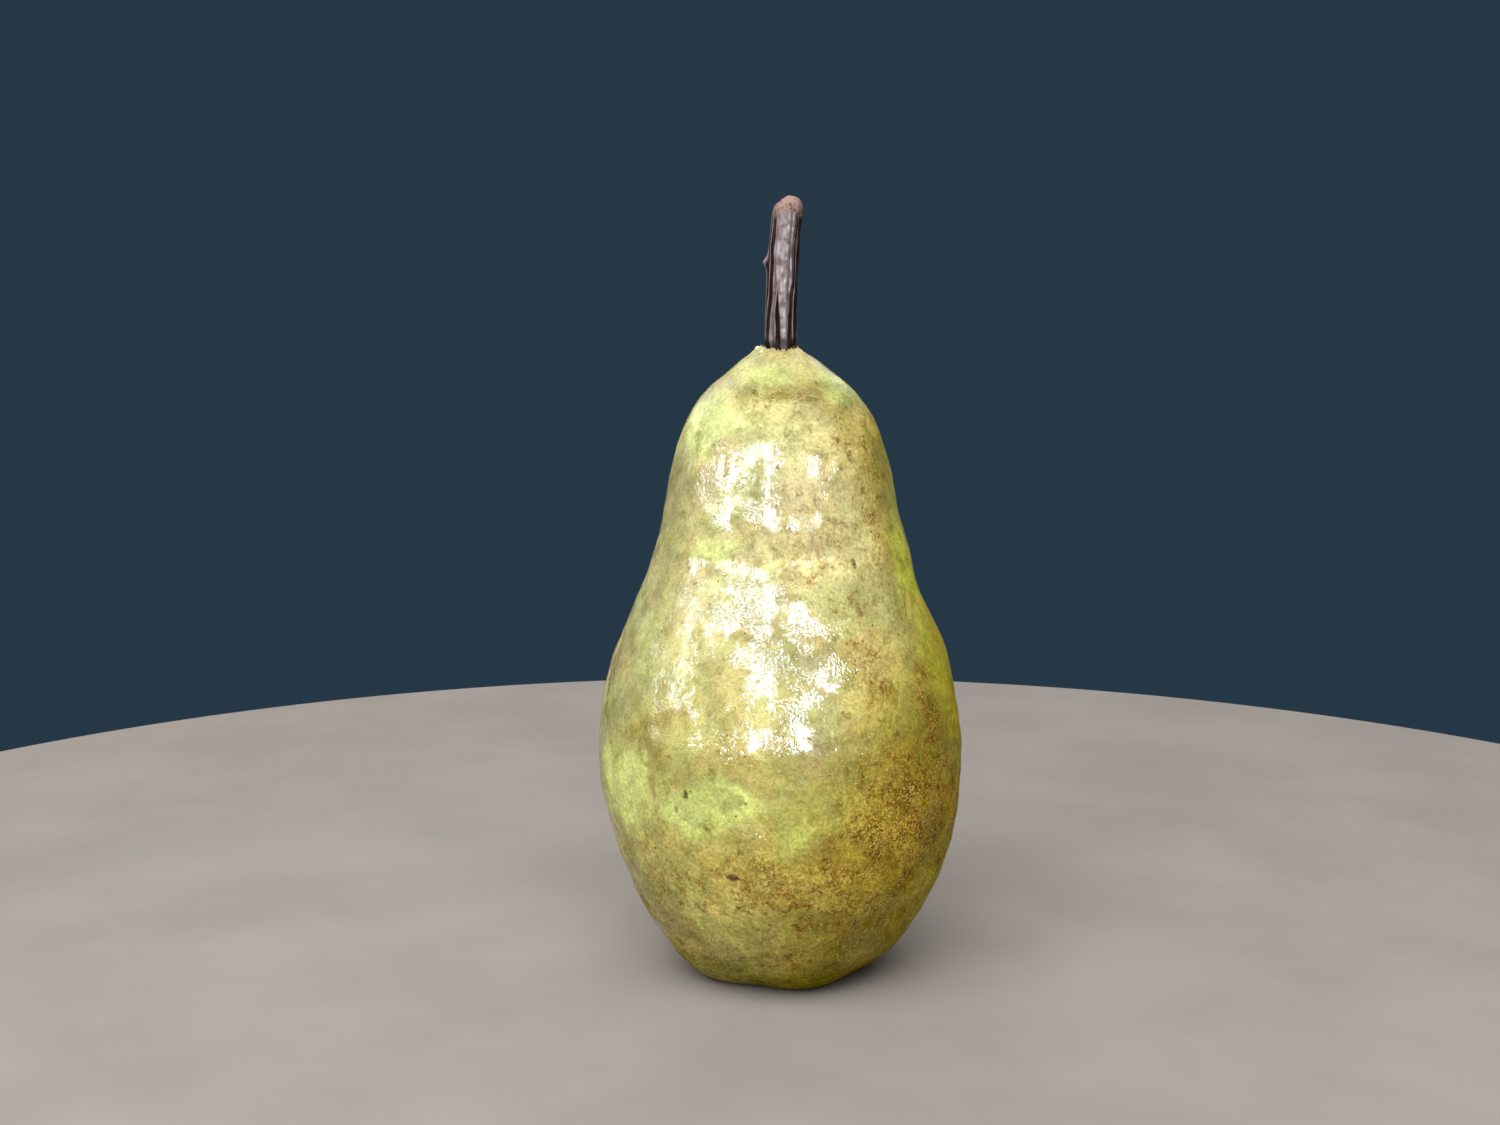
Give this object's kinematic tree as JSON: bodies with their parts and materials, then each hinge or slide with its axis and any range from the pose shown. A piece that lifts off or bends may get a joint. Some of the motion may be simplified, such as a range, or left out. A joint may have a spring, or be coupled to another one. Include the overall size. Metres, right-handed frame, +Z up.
{
  "type": "pear",
  "caption": "Whole pear with a waisted neck, a lobed base that it stands on, a woody grooved stalk and a dried calyx in its basin.",
  "frame": {"origin": "on the surface that the pear stands on, under the middle of its bounding box", "axes": "+Z up along the fruit's axis to the stalk, -Y the side that faces the viewer, +X to the viewer's right"},
  "size_m": [0.0642, 0.0642, 0.1366],
  "materials": {
    "skin": "glossy waxed yellow-green skin with olive and brown russet speckle",
    "stalk": "dark brown woody stalk, grooved lengthwise, with a satin sheen on its ridges",
    "calyx": "dry, matt, nearly black-brown sepals"
  },
  "bodies": {
    "root": {"fruit": "skin", "stalk": "stalk", "calyx": "calyx"}
  },
  "joints": []
}
